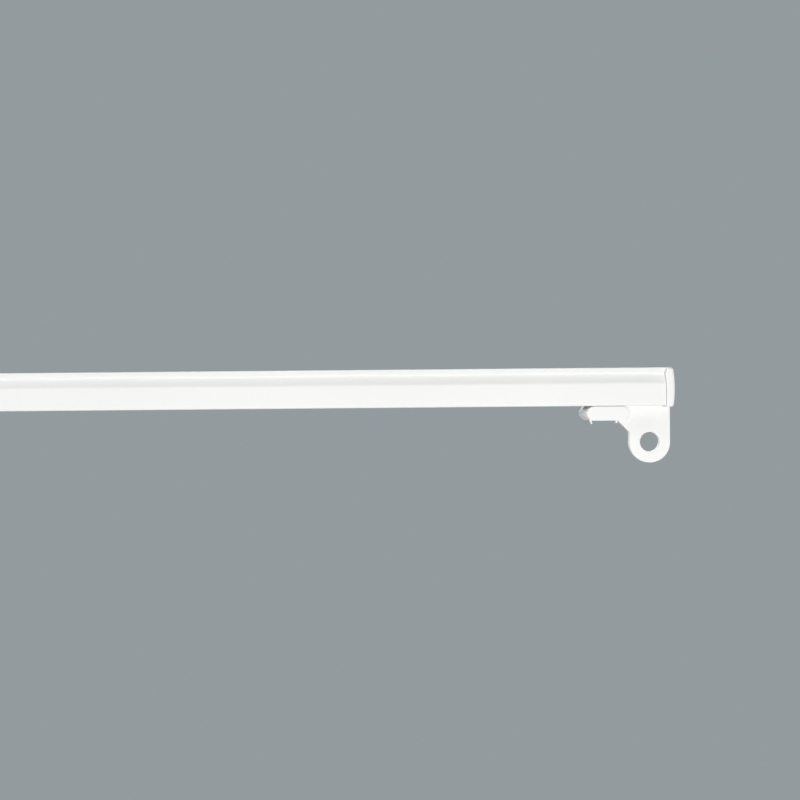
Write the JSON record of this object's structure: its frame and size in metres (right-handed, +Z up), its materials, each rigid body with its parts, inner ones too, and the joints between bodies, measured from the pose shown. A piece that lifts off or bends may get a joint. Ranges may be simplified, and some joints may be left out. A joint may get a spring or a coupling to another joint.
{
  "type": "curtain track",
  "caption": "Slim white ceiling curtain track: grooved aluminium rail with a bottom slot, domed end caps with a hanging hook eye, and sliding gliders.",
  "frame": {"origin": "middle of the rail's top face, where it meets the ceiling", "axes": "+X along the rail to the end seen in the picture, -Y to the front, +Z up into the ceiling"},
  "size_m": [0.6076, 0.016, 0.0354],
  "materials": {
    "coated_aluminium": "satin",
    "cap_plastic": "satin",
    "glider_acetal": "satin"
  },
  "bodies": {
    "track": {"track_rail": "coated_aluminium", "right_end_cap": "cap_plastic", "left_end_cap": "cap_plastic"},
    "glider_01": {"glider_01": "glider_acetal"},
    "glider_02": {"glider_02": "glider_acetal"},
    "glider_03": {"glider_03": "glider_acetal"},
    "glider_04": {"glider_04": "glider_acetal"},
    "glider_05": {"glider_05": "glider_acetal"},
    "glider_06": {"glider_06": "glider_acetal"},
    "glider_07": {"glider_07": "glider_acetal"},
    "glider_08": {"glider_08": "glider_acetal"},
    "glider_09": {"glider_09": "glider_acetal"},
    "glider_10": {"glider_10": "glider_acetal"}
  },
  "joints": [
    {"name": "glider_01_slide", "type": "slide", "parent": "track", "child": "glider_01", "axis": [1, 0, 0], "range_m": [-0.0142, 0.01085]},
    {"name": "glider_02_slide", "type": "slide", "parent": "track", "child": "glider_02", "axis": [1, 0, 0], "range_m": [-0.01085, 0.01085]},
    {"name": "glider_03_slide", "type": "slide", "parent": "track", "child": "glider_03", "axis": [1, 0, 0], "range_m": [-0.01085, 0.01085]},
    {"name": "glider_04_slide", "type": "slide", "parent": "track", "child": "glider_04", "axis": [1, 0, 0], "range_m": [-0.01085, 0.01085]},
    {"name": "glider_05_slide", "type": "slide", "parent": "track", "child": "glider_05", "axis": [1, 0, 0], "range_m": [-0.01085, 0.01085]},
    {"name": "glider_06_slide", "type": "slide", "parent": "track", "child": "glider_06", "axis": [1, 0, 0], "range_m": [-0.01085, 0.01085]},
    {"name": "glider_07_slide", "type": "slide", "parent": "track", "child": "glider_07", "axis": [1, 0, 0], "range_m": [-0.01085, 0.01085]},
    {"name": "glider_08_slide", "type": "slide", "parent": "track", "child": "glider_08", "axis": [1, 0, 0], "range_m": [-0.01085, 0.01085]},
    {"name": "glider_09_slide", "type": "slide", "parent": "track", "child": "glider_09", "axis": [1, 0, 0], "range_m": [-0.01085, 0.01085]},
    {"name": "glider_10_slide", "type": "slide", "parent": "track", "child": "glider_10", "axis": [1, 0, 0], "range_m": [-0.01085, 0.2302]}
  ]
}
